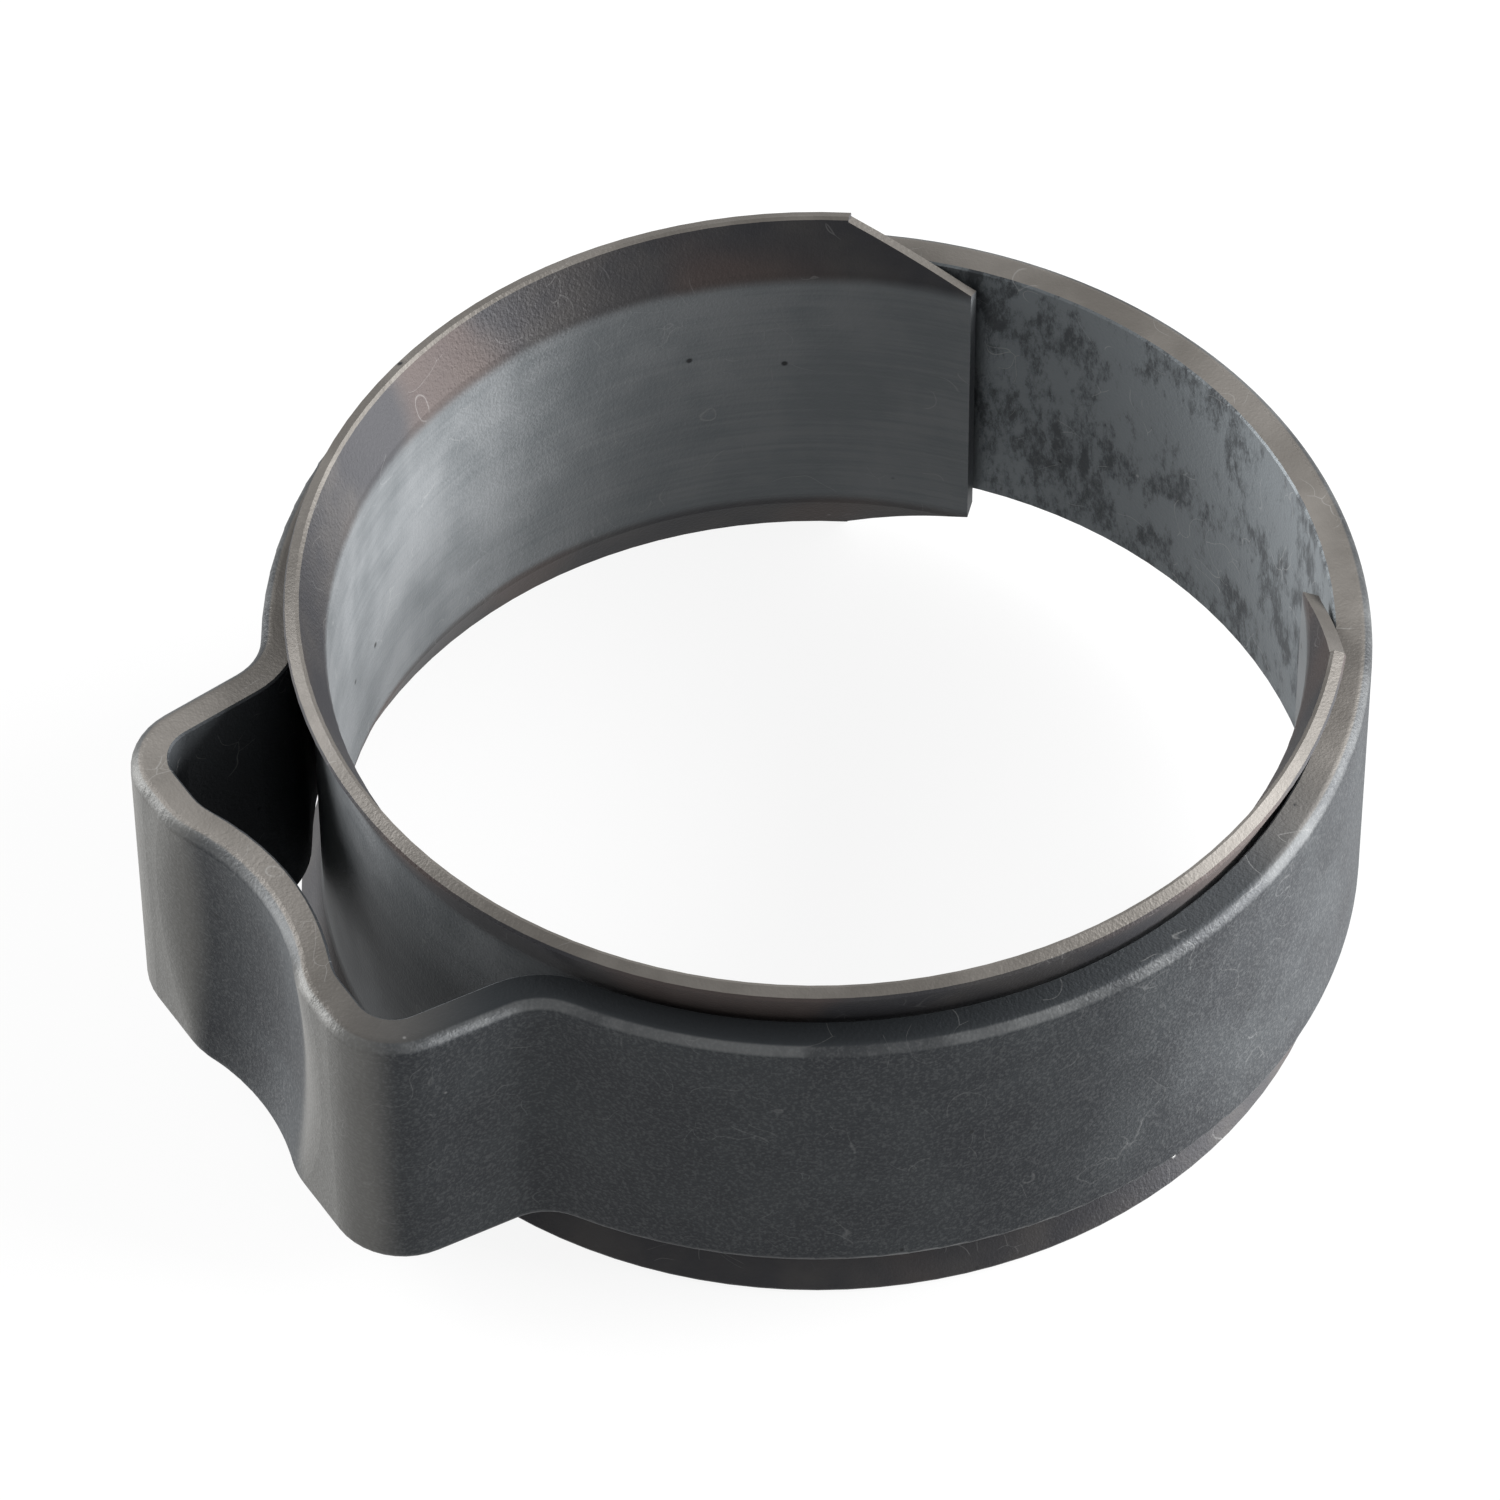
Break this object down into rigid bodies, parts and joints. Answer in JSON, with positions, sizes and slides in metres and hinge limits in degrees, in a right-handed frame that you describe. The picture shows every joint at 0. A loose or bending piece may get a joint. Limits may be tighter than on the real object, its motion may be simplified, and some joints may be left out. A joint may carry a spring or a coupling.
{
  "type": "ear hose clamp",
  "caption": "Closed steel band with a dimpled pinch ear, lined by a thin open insert ring with flared edges, that squeezes a hose onto a fitting.",
  "frame": {"origin": "on the ring's axis, at the middle of the band's width", "axes": "+Z along the ring's axis, the ear points along -X, the insert's gap faces +X"},
  "size_m": [0.0289, 0.026, 0.0108],
  "materials": {
    "band_steel": "satin",
    "insert_steel": "satin"
  },
  "bodies": {
    "root": {"clamp_band": "band_steel", "inner_insert": "insert_steel"}
  },
  "joints": []
}
